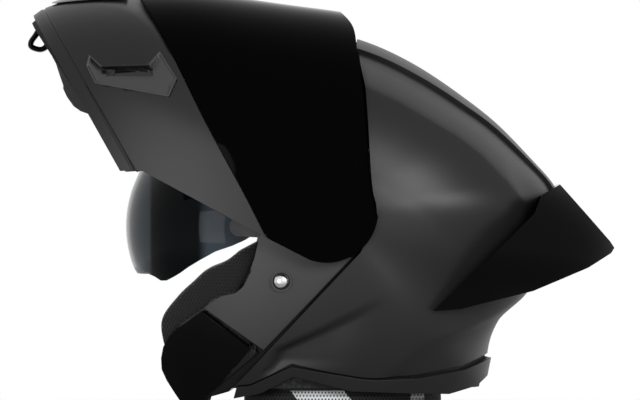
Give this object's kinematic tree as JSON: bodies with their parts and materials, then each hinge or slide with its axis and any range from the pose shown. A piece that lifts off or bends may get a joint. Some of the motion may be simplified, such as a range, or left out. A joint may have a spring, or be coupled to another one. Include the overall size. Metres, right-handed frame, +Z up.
{
  "type": "modular motorcycle helmet",
  "caption": "Flip-up motorcycle helmet with its chin bar and dark visor raised together, a smoked sun lens lowered, side latch pins, cheek pads and a rear spoiler.",
  "frame": {"origin": "middle of the helmet's footprint at the flat underside of the neck roll", "axes": "-X the way the face looks, +Z up, -Y the wearer's left"},
  "size_m": [0.3864, 0.252, 0.2775],
  "materials": {
    "black_fabric": "black mesh cloth",
    "black_rubber": "soft black",
    "dark_visor": "very dark gloss",
    "foam": "black energy foam",
    "gloss_black": "gloss black",
    "matte_black": "matte black paint",
    "matte_grey": "fine matte grey",
    "moulded_black": "moulded",
    "smoked_lens": "smoked, see-through",
    "steel": "polished",
    "webbing": "woven webbing"
  },
  "bodies": {
    "helmet_shell": {"outer_shell": "matte_black", "crown_spine": "matte_black", "rear_spoiler": "gloss_black", "lower_trim": "matte_black", "side_panel_left": "matte_grey", "side_panel_right": "matte_grey", "cheek_guard_left": "gloss_black", "cheek_guard_right": "gloss_black", "pivot_base_left": "moulded_black", "pivot_base_right": "moulded_black", "pivot_screw_left": "steel", "pivot_screw_right": "steel", "latch_ring_left": "moulded_black", "latch_ring_right": "moulded_black", "latch_pin_left": "steel", "latch_pin_right": "steel", "energy_liner": "foam", "crown_liner": "black_fabric", "cheek_pad_left": "black_fabric", "cheek_pad_right": "black_fabric", "neck_roll": "black_fabric", "lens_pivot_left": "moulded_black", "lens_pivot_right": "moulded_black", "chin_strap_left": "webbing", "chin_strap_right": "webbing", "strap_rivets": "steel", "buckle_frame": "steel", "brow_gasket": "black_rubber"},
    "chin_assembly": {"chin_bar": "matte_black", "chin_arm_left": "moulded_black", "chin_arm_right": "moulded_black", "ratchet_plate_left": "moulded_black", "ratchet_plate_right": "moulded_black", "side_vent_left": "matte_black", "side_vent_right": "matte_black", "front_trim": "gloss_black", "chin_liner": "foam", "chin_curtain": "black_rubber", "release_pin": "steel"},
    "visor_assembly": {"visor": "dark_visor"},
    "sun_lens_assembly": {"sun_lens": "smoked_lens"},
    "release_assembly": {"release_tab": "moulded_black"},
    "hook_assembly_left": {"latch_hook_left": "steel"},
    "hook_assembly_right": {"latch_hook_right": "steel"},
    "lever_assembly": {"buckle_lever": "moulded_black"}
  },
  "joints": [
    {"name": "chin_bar_swing", "type": "hinge", "parent": "helmet_shell", "child": "chin_assembly", "pos_m": [0.0045, 0, 0.132], "axis": [0, -1, 0], "range_deg": [0, 75.2]},
    {"name": "visor_swing", "type": "hinge", "parent": "chin_assembly", "child": "visor_assembly", "pos_m": [0.0045, 0, 0.132], "axis": [0, 1, 0], "range_deg": [0, 36]},
    {"name": "sun_lens_swing", "type": "hinge", "parent": "helmet_shell", "child": "sun_lens_assembly", "pos_m": [-0.05225, 0, 0.12206], "axis": [0, 1, 0], "range_deg": [0, 62]},
    {"name": "release_tab_swing", "type": "hinge", "parent": "chin_assembly", "child": "release_assembly", "pos_m": [-0.1841, 0, 0.25368], "axis": [0, -1, 0], "range_deg": [0, 12], "stiffness_Nm_per_rad": 0.4},
    {"name": "latch_hook_left_swing", "type": "hinge", "parent": "chin_assembly", "child": "hook_assembly_left", "pos_m": [-0.0657, -0.1149, 0.16184], "axis": [0, 1, 0], "range_deg": [0, 12]},
    {"name": "latch_hook_right_swing", "type": "hinge", "parent": "chin_assembly", "child": "hook_assembly_right", "pos_m": [-0.0657, 0.1149, 0.16184], "axis": [0, 1, 0], "range_deg": [0, 12]},
    {"name": "buckle_lever_swing", "type": "hinge", "parent": "helmet_shell", "child": "lever_assembly", "pos_m": [0.025, -0.003, 0.0131], "axis": [-1, 0, 0], "range_deg": [0, 70], "stiffness_Nm_per_rad": 0.01}
  ],
  "couplings": [
    {"joint": "latch_hook_left_swing", "follows": "release_tab_swing", "ratio": 1},
    {"joint": "latch_hook_right_swing", "follows": "release_tab_swing", "ratio": 1}
  ]
}
